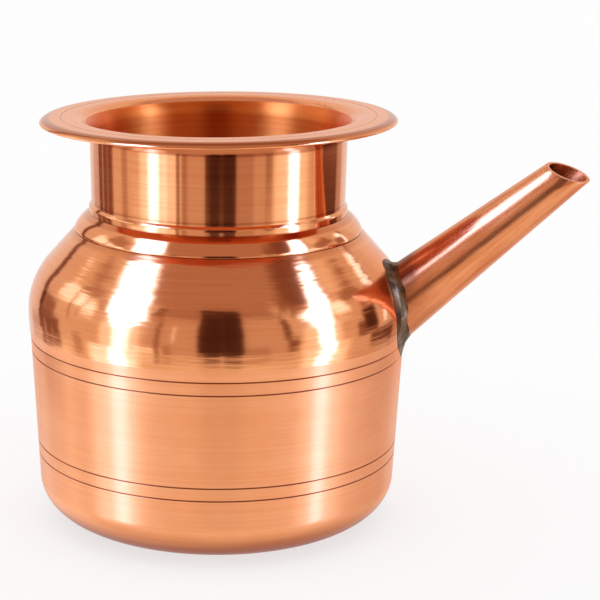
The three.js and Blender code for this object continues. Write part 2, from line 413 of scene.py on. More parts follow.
@dataclass(frozen=True)
class HeatTintAndPaintedReflection:
    """Colours near the spout's root: heat tint that the flame left, and on the spout also painted reflection
    of dark surroundings.
    """

    centre: Vector
    reach: float
    near: Colour
    far: Colour
    strength: float = 0.85
    flatness: float = 0.7
    ragged: float = 0.35
    ragged_scale: float = 260.0
    outer_edge: tuple[float, float] = (0.78, 1.3)
    inner_edge: tuple[float, float] = (0.66, 0.92)
    roughening: float = 0.08

    def apply(
        self, graph: Graph, place: tuple[Value, Value, Value], colour: bpy.types.NodeSocket, rough: Value
    ) -> tuple[bpy.types.NodeSocket, Value]:
        """Lay the tint over a colour and roughen it a little.

        Args:
            graph: The material's tree.
            place: The place on the surface.
            colour: The bare metal's colour.
            rough: The bare metal's roughness.

        Returns:
            The new colour and roughness.
        """
        dx, dy, dz = (value - middle for value, middle in zip(place, self.centre))
        ragged = graph.cloud(place, self.ragged_scale, 1.0, 4.0)
        distance = (dx * dx + dy * dy + dz * dz * self.flatness).root()
        distance = distance + (ragged - 0.5) * self.ragged * self.reach
        outer, inner = (
            1.0 - distance.rises(self.reach * start, self.reach * end)
            for start, end in (self.outer_edge, self.inner_edge)
        )
        tinted = graph.blend(outer * self.strength, colour, (*self.far, 1))
        tinted = graph.blend(inner * self.strength, tinted, (*self.near, 1))
        return tinted, rough + inner * self.roughening


@dataclass(frozen=True)
class SolderFinish:
    """Dull grey tin solder, brushed and stained brown by flux."""

    name: str
    metal: Colour = (0.25, 0.14, 0.065)
    stained: Colour = (0.085, 0.042, 0.018)
    metallic: float = 0.95
    roughness: float = 0.34
    roughness_swing: float = 0.3
    stain_roughness: float = 0.2
    stain_edges: tuple[float, float] = (0.38, 0.60)
    least_roughness: float = 0.12
    blot_scales: tuple[float, float] = (420.0, 240.0)
    blot_height: float = 1.6e-4
    grain_scales: tuple[float, float] = (2600.0, 900.0)
    grain_height: float = 2.2e-5
    relief: float = 0.8

    def make(self) -> bpy.types.Material:
        """Build the material.

        Returns:
            The material.
        """
        material, graph = Graph.material(self.name)
        place = graph.place()
        blots = graph.cloud(place, self.blot_scales[0], 5.0, 5.0, self.blot_scales[1])
        grain = graph.cloud(place, self.grain_scales[0], 2.0, 3.0, self.grain_scales[1])
        share = (blots * 0.75 + grain * 0.25).rises(*self.stain_edges)
        colour = graph.blend(share, (*self.metal, 1), (*self.stained, 1))
        rough = self.roughness + (grain - 0.5) * self.roughness_swing + share * self.stain_roughness
        height = (grain - 0.5) * self.grain_height + (blots - 0.5) * self.blot_height
        inputs = {
            "Base Color": colour,
            "Metallic": self.metallic,
            "Roughness": rough.most(self.least_roughness),
            "Normal": graph.bump(height, self.relief),
        }
        graph.surface(graph.metal(inputs))
        return material


# Modelling by hand


class Bench:
    """The few hand operations that every piece is made with."""

    START_SIZE = 0.001

    @staticmethod
    def clear() -> None:
        """Leave edit mode and deselect everything."""
        if bpy.context.mode != "OBJECT":
            bpy.ops.object.mode_set(mode="OBJECT")
        bpy.ops.object.select_all(action="DESELECT")

    @staticmethod
    def outline(name: str, points: Sequence[Vector]) -> bpy.types.Object:
        """Start from a small plane drawn together to one corner, and extrude it along the points.

        Args:
            name: The new object's name.
            points: The outline's corners in order.

        Returns:
            The object, left in edit mode with all of the outline selected.
        """
        Bench.clear()
        bpy.ops.mesh.primitive_plane_add(size=Bench.START_SIZE, location=points[0])
        made = bpy.context.active_object
        made.name = name
        bpy.ops.object.transform_apply(location=True, rotation=True, scale=True)
        bpy.ops.object.mode_set(mode="EDIT")
        bpy.ops.mesh.select_all(action="SELECT")
        bpy.ops.mesh.merge(type="CENTER")
        for start, end in zip(points, points[1:]):
            bpy.ops.mesh.extrude_region_move(TRANSFORM_OT_translate={"value": end - start})
        bpy.ops.mesh.select_all(action="SELECT")
        return made

    @staticmethod
    def turn(steps: int, centre: Vector, axis: Vector) -> None:
        """Spin the selected outline once round and weld the seam and the poles.

        Args:
            steps: How many facets.
            centre: A point on the axis.
            axis: The axis's direction.
        """
        bpy.ops.mesh.spin(steps=steps, angle=FULL_TURN, center=centre, axis=axis)
        bpy.ops.mesh.select_all(action="SELECT")
        bpy.ops.mesh.remove_doubles(threshold=WELD)
        Bench.face_out()

    @staticmethod
    def face_out() -> None:
        """Turn every face of the piece in edit mode outwards."""
        bpy.ops.mesh.select_all(action="SELECT")
        bpy.ops.mesh.normals_make_consistent(inside=False)

    @staticmethod
    def smooth(piece: bpy.types.Object, degrees: float) -> None:
        """Leave edit mode and shade smooth, with edges sharper than the angle kept.

        Args:
            piece: The piece.
            degrees: The angle.
        """
        Bench.clear()
        bpy.context.view_layer.objects.active = piece
        piece.select_set(True)
        bpy.ops.object.shade_smooth_by_angle(angle=math.radians(degrees))
        Bench.clear()

    @staticmethod
    def dress(
        piece: bpy.types.Object, materials: Sequence[bpy.types.Material], rule: Callable[[Vector], int]
    ) -> None:
        """Give each face the material that the rule names for its middle."""
        for material in materials:
            piece.data.materials.append(material)
        for face in piece.data.polygons:
            face.material_index = rule(face.center)

    @staticmethod
    def keep(piece: bpy.types.Object, slot: str, *nodes: str) -> bpy.types.Object:
        """Make the piece ride on the pot in place of its CAD nodes.

        Args:
            piece: The piece.
            slot: Not used.
            nodes: The nodes that it replaces.

        Returns:
            The same piece.
        """
        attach(piece, "root")
        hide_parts(*nodes)
        return piece


class Outline:
    """Points of a turned outline, in radius and height."""

    @staticmethod
    def shares(count: int) -> list[float]:
        """Return the ends of so many equal steps from 0 to 1."""
        return [i / count for i in range(count + 1)]

    @staticmethod
    def arc(
        centre: Vector, radius: float, start: float, end: float, step: float = 3.0, tall: float = 0.0
    ) -> list[Vector]:
        """Return the points of an arc or, with a second radius, of an ellipse.

        Args:
            centre: The middle, in radius and height.
            radius: The radius, or the ellipse's half width.
            start: First angle in degrees, from straight outwards.
            end: Last angle in degrees.
            step: The widest angle between points.
            tall: The ellipse's half height, or 0 for a circle.

        Returns:
            The points, both ends included.
        """
        count = max(2, math.ceil(abs(end - start) / step))
        high = tall or radius
        angles = [math.radians(start + (end - start) * share) for share in Outline.shares(count)]
        return [centre + Vector((radius * math.cos(a), high * math.sin(a))) for a in angles]

    @staticmethod
    def line(start: Vector, end: Vector, count: int, bulge: float = 0.0) -> list[Vector]:
        """Return points from start to end, with the middle pushed to the right of the way they run.

        Args:
            start: The first point.
            end: The last point.
            count: How many steps lie between them.
            bulge: How far the middle is pushed.

        Returns:
            The points, both ends included.
        """
        along = end - start
        right = Vector((along.y, -along.x)).normalized()
        return [start + along * t + right * (4 * bulge * t * (1 - t)) for t in Outline.shares(count)]

    @staticmethod
    def sweep(start: Vector, corner: Vector, end: Vector, count: int) -> list[Vector]:
        """Return points of a curve that leaves start towards a corner and reaches end from it."""
        shares = Outline.shares(count)
        return [start * (1 - t) ** 2 + corner * (2 * t * (1 - t)) + end * t**2 for t in shares]

    @staticmethod
    def inset(path: Sequence[Vector], distance: float) -> list[Vector]:
        """Return the path moved to its left by a distance, with mitred corners.

        Args:
            path: The points.
            distance: How far they move.

        Returns:
            The moved points.
        """
        lefts = []
        for a, b in zip(path, path[1:]):
            d = (b - a).normalized()
            lefts.append(Vector((-d.y, d.x)))
        moved = []
        for i, p in enumerate(path):
            before = lefts[max(0, i - 1)]
            after = lefts[min(i, len(lefts) - 1)]
            moved.append(p + (before + after) * (distance / (1 + before.dot(after))))
        return moved

    @staticmethod
    def stand(path: Iterable[Vector]) -> list[Vector]:
        """Return the points in space, on the side of the pot away from the spout."""
        return [Vector((-p.x, 0.0, p.y)) for p in path]


# The pot's pieces


@dataclass
class Vessel:
    """The drawn and spun body with its base, scribed wall, belly, shoulder and the seat under the neck."""

    sheet: float = 0.0007
    base_flat: float = 0.032
    corner_width: float = 0.0159
    corner_height: float = 0.012
    wall_top: Vector = at(0.04995, 0.0503)
    belly: Vector = at(0.0505, 0.0573)
    knuckle: float = 0.0202
    lean: float = 41.5
    cone_end: Vector = at(0.03942, 0.07747)
    ledge_end: Vector = at(0.03798, 0.07885)
    upper_pair: float = 0.0503
    lower_pair: float = 0.0223
    pair_gap: float = 0.0034
    satin_margin: float = 0.0025
    scribe_width: float = 0.0004
    scribe_depth: float = 0.00016
    belly_bulge: float = 0.00012
    sharp: float = 32.0
    seat_line: tuple[Vector, Vector] = (Vector((0.03724, 0.07861)), Vector((0.03543, 0.08110)))
    seat_foot: Vector = at(0.03726, 0.07845)

    def scribed(self) -> tuple[float, ...]:
        """Return the heights of the four scribed lines."""
        pairs = (self.lower_pair, self.upper_pair)
        return tuple(sorted(height - gap for height in pairs for gap in (self.pair_gap, 0.0)))

    def wall_radius(self, height: float) -> float:
        """Return the plain wall's radius at a height.

        Args:
            height: The height.

        Returns:
            The radius.
        """
        foot = self.base_flat + self.corner_width
        share = (height - self.corner_height) / (self.wall_top.y - self.corner_height)
        return foot + (self.wall_top.x - foot) * share

    def _scribe(self, height: float) -> list[Vector]:
        """Return the points of one scribed line, a rounded V.

        Args:
            height: The line's height.

        Returns:
            The points, from the foot up.
        """
        half = self.scribe_width / 2
        depths = ((-1.0, 0.0), (-0.45, 0.6), (0.0, 1.0), (0.45, 0.6), (1.0, 0.0))
        places = [(height + s * half, d * self.scribe_depth) for s, d in depths]
        return [Vector((self.wall_radius(z) - depth, z)) for z, depth in places]

    def outside(self, scribed: bool = True) -> list[Vector]:
        """Return the outside from the axis up to the ledge below the skirt.

        Args:
            scribed: Whether the scribed lines are cut in.

        Returns:
            The points, from the foot up.
        """
        corner = Vector((self.base_flat, self.corner_height))
        path = Outline.line(Vector((0.0, 0.0)), Vector((self.base_flat, 0.0)), 4)[:-1]
        path += Outline.arc(corner, self.corner_width, -90, 0, 3.0, self.corner_height)
        half = self.scribe_width / 2
        low = self.corner_height
        for height in self.scribed():
            high = height - half
            between = [low + (high - low) * share for share in Outline.shares(4)[1:-1]]
            path += [Vector((self.wall_radius(z), z)) for z in between]
            if scribed:
                path += self._scribe(height)
            low = height + half
        foot = Vector((self.wall_radius(low + half), low + half))
        path += Outline.line(foot, self.belly, 8, self.belly_bulge)[:-1]
        knuckle = self.belly - Vector((self.knuckle, 0.0))
        path += Outline.arc(knuckle, self.knuckle, 0, self.lean, 2.0)
        path += Outline.line(path[-1], self.cone_end, 8)[1:-1]
        return path + Outline.line(self.cone_end, self.ledge_end, 4)

    @cached_property
    def skin(self) -> list[Vector]:
        """Return the outside without its scribed lines."""
        return self.outside(False)

    def radius_at(self, height: float) -> float:
        """Return the outside's radius at a height, without the scribed lines."""
        for low, high in zip(self.skin, self.skin[1:]):
            if low.y <= height <= high.y and high.y > low.y:
                return low.x + (high.x - low.x) * (height - low.y) / (high.y - low.y)
        return self.skin[-1].x

    def seat(self) -> list[Vector]:
        """Return the stepped-in seat that the skirt laps over."""
        return [self.seat_foot, *Outline.line(*self.seat_line, 3)]

    def build(self, spout: "Spout") -> bpy.types.Object:
        """Spin the shell, pierce it for the spout and dress it.

        Args:
            spout: The spout whose bore is cut through the wall.

        Returns:
            The finished piece.
        """
        outer = self.outside() + self.seat()
        inner = Outline.inset(self.outside(False) + self.seat(), self.sheet)
        piece = Bench.outline("vessel_shell", Outline.stand(outer + inner[::-1]))
        Bench.turn(Ring.VESSEL.value, Vector(), UP)
        Bench.clear()
        self._pierce(piece, spout.bore_plug())
        Bench.smooth(piece, self.sharp)
        heat_and_reflection = HeatTintAndPaintedReflection(spout.start, reach=0.0165, near=(0.95, 0.30, 0.06), far=(0.95, 0.31, 0.09))
        marks = tuple(RingMark(height) for height in self.scribed())
        # Painted shade: a dark-red ring in the crevice where the skirt laps over the shoulder.
        crevice_shade = RingMark(self.ledge_end.y, half=0.0010, soft=0.0006, strength=0.32, colour=PAINTED_CREASE_SHADE)
        # Painted shade: the base's lower corner darkens towards the floor, standing in for the shadowed
        # floor under the pot that it mirrors.
        foot = RingMark(0.0, half=0.0069, soft=0.0040, strength=0.95, colour=(0.27, 0.038, 0.006))
        wall = CopperFinish(
            "satin_wall_copper",
            haze=0.58,
            haze_roughness=0.55,
            roughness=0.20,
            roughness_swing=0.04,
            anisotropy=0.5,
            line_depth=1.5e-6,
            wave_depth=2e-6,
            marks=(*marks, foot),
        )
        shoulder = CopperFinish(
            "bright_shoulder_copper",
            roughness=0.13,
            roughness_swing=0.04,
            anisotropy=0.7,
            line_depth=2.2e-5,
            wave_pitch=0.0026,
            wave_depth=1.2e-4,
            run=45.0,
            marks=(*marks[-1:], crevice_shade),
        )
        inside = CopperFinish(
            "inside_copper",
            haze=0.3,
            roughness=0.34,
            roughness_swing=0.1,
            line_depth=4e-6,
            stain=0.6,
        )
        border = self.upper_pair + self.satin_margin

        def zone(middle: Vector) -> int:
            """Return 0 for the wall, 1 for the shoulder and 2 for the inside.

            Args:
                middle: The face's middle.

            Returns:
                The number.
            """
            around = math.hypot(middle.x, middle.y)
            if middle.z > self.sheet / 2 and around < self.radius_at(middle.z) - self.sheet * INNER_SKIN:
                return 2
            return 1 if middle.z > border else 0

        Bench.dress(piece, [wall.make(heat_and_reflection), shoulder.make(heat_and_reflection), inside.make()], zone)
        return Bench.keep(piece, "copper_body", "vessel_body")

    @staticmethod
    def _pierce(piece: bpy.types.Object, cutter: bpy.types.Object) -> None:
        """Cut the cutter out of the piece and throw it away.

        Args:
            piece: The piece.
            cutter: A closed solid.
        """
        cut = piece.modifiers.new("pierce", "BOOLEAN")
        cut.operation = "DIFFERENCE"
        cut.solver = "EXACT"
        cut.object = cutter
        bpy.context.view_layer.objects.active = piece
        bpy.ops.object.modifier_apply(modifier=cut.name)
        bpy.data.objects.remove(cutter, do_unlink=True)


@dataclass
class Neck:
    """The spun neck: skirt over the shoulder, bead, straight neck, throat, flange and turned-down lip."""

    sheet: float = 0.0007
    skirt_foot: Vector = at(0.03805, 0.0792)
    burr: Vector = at(0.03800, 0.07944)
    brow: Vector = at(0.03562, 0.08255)
    crease: Vector = at(0.03415, 0.08375)
    bead: Vector = at(0.03420, 0.08515)
    bead_corner: Vector = at(0.03421, 0.08538)
    bead_slope: Vector = at(0.03405, 0.08556)
    neck_foot: Vector = at(0.03358, 0.08612)
    tarnish: float = 0.08685
    side_swell: float = 0.00028
    top_radius: float = 0.0339
    throat_height: float = 0.1039
    throat: float = 0.0046
    flange_flat: float = 0.0445
    flange_droop: float = 0.00005
    lip: float = 0.0032
    lip_turn: float = 50.0
    flange_line: float = 0.0414
    front_side: float = 9.3
    front_up: float = 0.0105
    right_up: float = 0.0145
    lean_from: float = 0.088
    line_width: float = 0.0003
    line_depth: float = 0.0001
    foot_round: float = 0.2
    lip_round: float = 0.7
    polish_from: float = 0.0441
    satin_from: float = 0.85
    crease_mark: float = 0.0001
    throat_mark: float = 0.0030
    lip_mark: float = 0.0009
    sharp: float = 32.0

    def underside(self, burr: bool = True) -> list[Vector]:
        """Return the outside from the skirt's foot up and out to the lip, with or without the foot's burr.

        Args:
            burr: Whether the burr is there.

        Returns:
            The points, from the foot up.
        """
        start = [self.skirt_foot, self.burr] if burr else [self.skirt_foot]
        throat = Vector((self.top_radius + self.throat, self.throat_height))
        top = self.throat_height + self.throat - self.flange_droop
        lip = Vector((self.flange_flat, top + self.sheet - self.lip))
        neck_top = Vector((self.top_radius, self.throat_height))
        flange_start = Vector((throat.x, self.throat_height + self.throat))
        flange_end = Vector((lip.x, top))
        return (
            start[:-1]
            + Outline.line(start[-1], self.brow, 8)[:-1]
            + Outline.line(self.brow, self.crease, 5)[:-1]
            + Outline.line(self.crease, self.bead, 3)[:-1]
            + Outline.sweep(self.bead, self.bead_corner, self.bead_slope, 3)[:-1]
            + Outline.line(self.bead_slope, self.neck_foot, 3)[:-1]
            + Outline.line(self.neck_foot, neck_top, 8)[:-1]
            + Outline.arc(throat, self.throat, 180, 90, 3.0)
            + Outline.line(flange_start, flange_end, 4)[1:-1]
            + Outline.arc(lip, self.lip - self.sheet, 90, 90 - self.lip_turn, 4.0)
        )

    def topside(self) -> list[Vector]:
        """Return the inside from the skirt's foot up, with the scribed line on the flange.

        Returns:
            The points, from the foot up.
        """
        path = Outline.inset(self.underside(False), self.sheet)
        near = [p for p in path if p.y > self.throat_height and p.x > self.flange_line]
        index = path.index(near[0])
        before, after = path[index - 1], path[index]
        share = (self.flange_line - before.x) / (after.x - before.x)
        middle = before.lerp(after, share)
        half = self.line_width / 2
        depths = ((-half, 0.0), (0.0, -self.line_depth), (half, 0.0))
        return path[:index] + [middle + Vector(depth) for depth in depths] + path[index:]

    def front(self) -> Vector:
        """Return the way that the pot's front faces."""
        side = math.radians(self.front_side)
        return Vector((math.sin(side), -math.cos(side)))

    def lift(self, place: Vector) -> float:
        """Return how much higher the handmade rim stands at a place than a true one.

        Args:
            place: A point of the neck.

        Returns:
            The height to add.
        """
        front = self.front()
        flat = Vector((place.x, place.y))
        share = min(1.0, max(0.0, (place.z - self.lean_from) / (self.throat_height - self.lean_from)))
        share = share * share * (3 - 2 * share)
        right = Vector((-front.y, front.x))
        return share * (flat.dot(front) * self.front_up + flat.dot(right) * self.right_up)

    def swell(self, place: Vector) -> Vector:
        """Return how far the skirt's slope stands out at a place; it does so only at the sides.

        Args:
            place: A point of the neck.

        Returns:
            The way to move it.
        """
        flat = Vector((place.x, place.y))
        slope = self.brow - self.skirt_foot
        share = (Vector((flat.length, place.z)) - self.skirt_foot).dot(slope) / slope.length_squared
        if not 0 < share < 1:
            return Vector((0.0, 0.0, 0.0))
        side = 1 - flat.normalized().dot(self.front()) ** 2
        out = Vector((slope.y, -slope.x)).normalized() * (4 * share * (1 - share) * side * self.side_swell)
        return Vector((flat.x / flat.length * out.x, flat.y / flat.length * out.x, out.y))

    def build(self) -> bpy.types.Object:
        """Spin the neck as one closed sheet and dress it.

        Returns:
            The finished piece.
        """
        outer = self.underside()
        inner = self.topside()
        tip = self._edge(outer[-1], inner[-1], self.lip_round)
        foot = self._edge(inner[0], outer[0], self.foot_round)
        loop = outer + tip + inner[::-1] + foot
        loop.append(loop[0].copy())
        piece = Bench.outline("neck_shell", Outline.stand(loop))
        Bench.turn(Ring.VESSEL.value, Vector(), UP)
        Bench.smooth(piece, self.sharp)
        outside = CopperFinish(
            "polished_neck_copper",
            haze=0.012,
            roughness=0.11,
            roughness_swing=0.03,
            anisotropy=0.5,
            line_depth=6e-6,
            wave_depth=6e-6,
            marks=self._marks(),
        )
        flange = CopperFinish(
            "satin_flange_copper",
            haze=0.25,
            roughness=0.20,
            roughness_swing=0.06,
            anisotropy=0.5,
            line_depth=4e-6,
            wave_depth=1.6e-5,
            wave_pitch=0.0016,
            marks=(RingMark(self.flange_line, 0.00016, 0.0001, strength=0.3, measure=Measure.RADIUS),),
        )
        # Partly tarnish, partly painted reflection: the throat's inside is coloured deeper and redder than
        # the outside, standing in for light bounced between its walls.
        inside = CopperFinish(
            "ringed_throat_copper_painted_bounce",
            light=(0.95, 0.25, 0.045),
            dark=(0.86, 0.165, 0.025),
            haze=0.03,
            roughness=0.42,
            roughness_swing=0.08,
            anisotropy=0.95,
            line_pitch=0.0009,
            line_depth=7e-6,
            wave_pitch=0.003,
            wave_depth=1.6e-5,
            run=9.0,
        )
        # Painted shade: a dark ring on the turned-down lip.
        turn = self.flange_flat + self.lip_mark
        shade = RingMark(turn, 0.0011, 0.0003, 0.66, (0.36, 0.07, 0.012), Measure.RADIUS)
        lip = CopperFinish("polished_lip_copper", roughness=0.13, anisotropy=0.3, marks=(shade,))
        Bench.dress(piece, [outside.make(), flange.make(), inside.make(), lip.make()], self._zone)
        for corner in piece.data.vertices:
            corner.co += self.swell(corner.co)
            corner.co.z += self.lift(corner.co)
        return Bench.keep(piece, "copper_neck", "neck_and_rim")

    def _marks(self) -> tuple[RingMark, ...]:
        """Return the tarnished rings above the bead and in the crease, and the rings of painted shade on the
        brow and under the flange.

        Returns:
            The four rings.
        """
        brow = (self.brow.y + self.crease.y) / 2
        throat = self.throat_height + self.throat_mark
        return (
            RingMark(self.tarnish, half=0.0003, soft=0.00015, strength=0.35),
            RingMark(self.crease.y + self.crease_mark, half=0.0002, soft=0.0001, strength=0.5),
            # Painted shade: a dark-red band on the brow.
            RingMark(brow, half=0.0006, soft=0.0003, strength=0.42, colour=PAINTED_CREASE_SHADE),
            # Painted shade: a dark band on the neck under the flange's overhang.
            RingMark(throat, half=0.0030, soft=0.0003, strength=0.62, colour=(0.36, 0.05, 0.012)),
        )

    def _zone(self, middle: Vector) -> int:
        """Return 0 for the outside, 1 for the flange, 2 for the inside and 3 for the lip.

        Args:
            middle: The face's middle.

        Returns:
            The number.
        """
        place = Vector((math.hypot(middle.x, middle.y), middle.z))
        throat = Vector((self.top_radius + self.throat, self.throat_height))
        half = self.sheet / 2
        if place.x > self.polish_from:
            return 3
        if place.y < throat.y:
            return 2 if place.x < self.neck_foot.x - half and place.y > self.crease.y else 0
        if place.x < throat.x and (place - throat).length < self.throat + half:
            return 0
        if place.x >= throat.x and place.y < throat.y + self.throat + half:
            return 0
        return 1 if place.y > throat.y + self.throat * self.satin_from else 2

    @staticmethod
    def _edge(below: Vector, above: Vector, depth: float) -> list[Vector]:
        """Return the points that round a cut edge of the sheet over, out by a share of half its thickness.

        Args:
            below: The edge's first corner.
            above: Its second corner.
            depth: The share.

        Returns:
            The points, without the two corners.
        """
        middle = (below + above) / 2
        across = (above - below) / 2
        out = Vector((across.y, -across.x))
        angles = [math.radians(a) for a in EDGE_ANGLES]
        return [middle + across * math.sin(a) + out * (depth * math.cos(a)) for a in angles]


@dataclass
class Spout:
    """The straight tapered tube with its mouth cut nearly level."""

    elevation: float = 40.0
    start: Vector = field(default_factory=lambda: Vector((0.049, 0.0, 0.06135)))
    root_radius: float = 0.00885
    taper: float = 0.0654
    length: float = 0.0558
    sheet: float = 0.00075
    run_in: float = 0.018
    run_out: float = 0.008
    root_cut: float = -0.0035
    mouth_tilt: float = 20.0
    mouth_skew: float = 10.0
    edge_round: float = 0.00012
    root_gap: float = 0.0003
    root_slack: float = 0.0001
    stations: int = 12
    edge_reach: float = 1.1
    # Where the dark patch of heat tint and painted reflection sits on the spout's upper root.
    dark_patch_along: float = 0.002
    dark_patch_up: float = 0.0035
    sharp: float = 40.0

    def along(self) -> Vector:
        """Return the direction of the spout's axis."""
        a = math.radians(self.elevation)
        return Vector((math.cos(a), 0.0, math.sin(a)))

    def radius(self, distance: float) -> float:
        """Return the outer radius at a distance along the axis."""
        return self.root_radius - self.taper * distance

    def point(self, distance: float, radius: float, angle: float) -> Vector:
        """Return a point at a distance along the axis, out by a radius at an angle in radians.

        Args:
            distance: How far along the axis.
            radius: How far out from the axis.
            angle: 0 on the pot's left side, a quarter turn on the spout's upper side.

        Returns:
            The point in space.
        """
        along = self.along()
        side = Vector((0.0, 1.0, 0.0))
        out = side * math.cos(angle) + along.cross(side) * math.sin(angle)
        return self.start + along * distance + out * radius

    def mouth_normal(self) -> Vector:
        """Return the direction that the mouth faces.

        Returns:
            The direction, of length 1.
        """
        tilt = math.radians(self.mouth_tilt)
        skew = math.radians(self.mouth_skew)
        return Vector((math.sin(tilt) * math.cos(skew), -math.sin(skew), math.cos(tilt) * math.cos(skew)))

    def _tube(self, name: str, stops: Sequence[tuple[float, float]], steps: int) -> bpy.types.Object:
        """Spin an outline of distance and radius round the spout's axis.

        Args:
            name: The new object's name.
            stops: Distance and radius of each point.
            steps: How many facets.

        Returns:
            The object, left in edit mode.
        """
        points = [self.point(d, r, math.pi / 2) for d, r in stops]
        piece = Bench.outline(name, points)
        Bench.turn(steps, self.start, self.along())
        return piece

    def bore_plug(self) -> bpy.types.Object:
        """Return a closed plug that fills the bore where it passes through the wall.

        Returns:
            The plug.
        """
        bore = [(d, self.radius(d) - self.sheet) for d in (-self.run_in, self.run_in)]
        stops = [(-self.run_in, 0.0), *bore, (self.run_in, 0.0)]
        plug = self._tube("bore_plug", stops, Ring.PLUG.value)
        Bench.clear()
        return plug

    def build(self, vessel: Vessel) -> bpy.types.Object:
        """Spin the tube, cut both ends, close the mouth's edge and dress it.

        Args:
            vessel: The vessel on whose wall the root stands.

        Returns:
            The finished piece.
        """
        reach = self.length + self.run_out
        first = self.root_cut - self.run_in / 2
        places = [first + (reach - first) * share for share in Outline.shares(self.stations)]
        outer = [(d, self.radius(d)) for d in places]
        inner = [(d, self.radius(d) - self.sheet) for d in places]
        piece = self._tube("spout_tube", outer + inner[::-1] + outer[:1], Ring.SPOUT.value)
        mouth = self.start + self.along() * self.length
        bpy.ops.mesh.select_all(action="SELECT")
        bpy.ops.mesh.bisect(plane_co=mouth, plane_no=self.mouth_normal(), clear_outer=True)
        bpy.ops.mesh.select_all(action="DESELECT")
        bpy.ops.mesh.select_non_manifold(extend=False, use_wire=False, use_multi_face=False, use_verts=False)
        bpy.ops.mesh.bridge_edge_loops()
        bpy.ops.mesh.bevel(offset=self.edge_round, segments=2, affect="EDGES")
        Bench.face_out()
        Bench.smooth(piece, self.sharp)
        self._seat_root(piece, vessel)
        tube = CopperFinish(
            "polished_spout_copper",
            light=(0.94, 0.38, 0.165),
            dark=(0.80, 0.26, 0.095),
            haze=0.20,
            roughness=0.21,
            roughness_swing=0.08,
            anisotropy=0.0,
            line_pitch=0.0006,
            line_depth=1.2e-5,
            wave_pitch=0.0022,
            wave_depth=6e-5,
            run=45.0,
            grain=Grain.LENGTHWISE,
            tilt=self.elevation,
        )
        edge = CopperFinish(
            "cut_edge_copper", dark=(0.80, 0.30, 0.15), haze=0.5, roughness=0.35, anisotropy=0.0
        )
        # Partly tarnish, partly painted shade: the bore is coloured darker than the outside, as inside a
        # tube where little light reaches.
        bore = CopperFinish(
            "tarnished_and_shaded_bore_copper",
            light=(0.62, 0.17, 0.06),
            dark=(0.42, 0.09, 0.03),
            haze=0.1,
            roughness=0.36,
            anisotropy=0.0,
        )
        # Partly heat tint, partly painted reflection: a dark brown patch on the spout's upper side at the
        # root, standing in for the dark surroundings mirrored there as well as heat colouring.
        dark_patch_centre = self.point(self.dark_patch_along, self.dark_patch_up, math.pi / 2)
        heat_and_reflection = HeatTintAndPaintedReflection(dark_patch_centre, reach=0.0115, near=(0.22, 0.06, 0.02), far=(0.62, 0.19, 0.07), strength=0.78)

        def zone(middle: Vector) -> int:
            """Return 0 for the tube, 1 for the mouth's cut edge and 2 for the bore.

            Args:
                middle: The face's middle.

            Returns:
                The number.
            """
            if abs((middle - mouth).dot(self.mouth_normal())) < self.edge_round * self.edge_reach:
                return 1
            distance = (middle - self.start).dot(self.along())
            across = (middle - self.start - self.along() * distance).length
            return 2 if across < self.radius(distance) - self.sheet * INNER_SKIN else 0

        Bench.dress(piece, [tube.make(heat_and_reflection), edge.make(), bore.make()], zone)
        return Bench.keep(piece, "copper_spout", "spout")

    def _seat_root(self, piece: bpy.types.Object, vessel: Vessel) -> None:
        """Slide the root's corners along the tube until they stand just off the vessel's wall.

        Args:
            piece: The tube.
            vessel: The vessel.
        """
        along = self.along()
        limit = -self.run_in / 2 - abs(self.root_cut)
        for corner in piece.data.vertices:
            distance = (corner.co - self.start).dot(along)
            if distance > limit + self.root_slack:
                continue
            foot = self.start + along * distance
            across = corner.co - foot
            angle = math.atan2(across.dot(along.cross(Vector((0.0, 1.0, 0.0)))), across.y)
            inner = across.length < self.radius(distance) - self.sheet / 2
            shell = self.sheet if inner else 0.0
            met = self.meets(vessel, angle, -shell, self.root_gap)
            corner.co = self.point(met, self.radius(met) - shell, angle)

    def meets(self, vessel: Vessel, angle: float, grow: float, gap: float) -> float:
        """Return the distance along the axis at which a line on the tube stands a gap off the vessel.

        Args:
            vessel: The vessel.
            angle: Where the line is round the tube, in radians.
            grow: How much the tube's radius is grown for the test.
            gap: How far off the wall the point is.

        Returns:
            The distance along the axis.
        """
        low, high = -self.run_in, self.run_in
        for _ in range(HALVINGS):
            middle = (low + high) / 2
            p = self.point(middle, self.radius(middle) + grow, angle)
            if math.hypot(p.x, p.y) > vessel.radius_at(p.z) + gap:
                high = middle
            else:
                low = middle
        return high


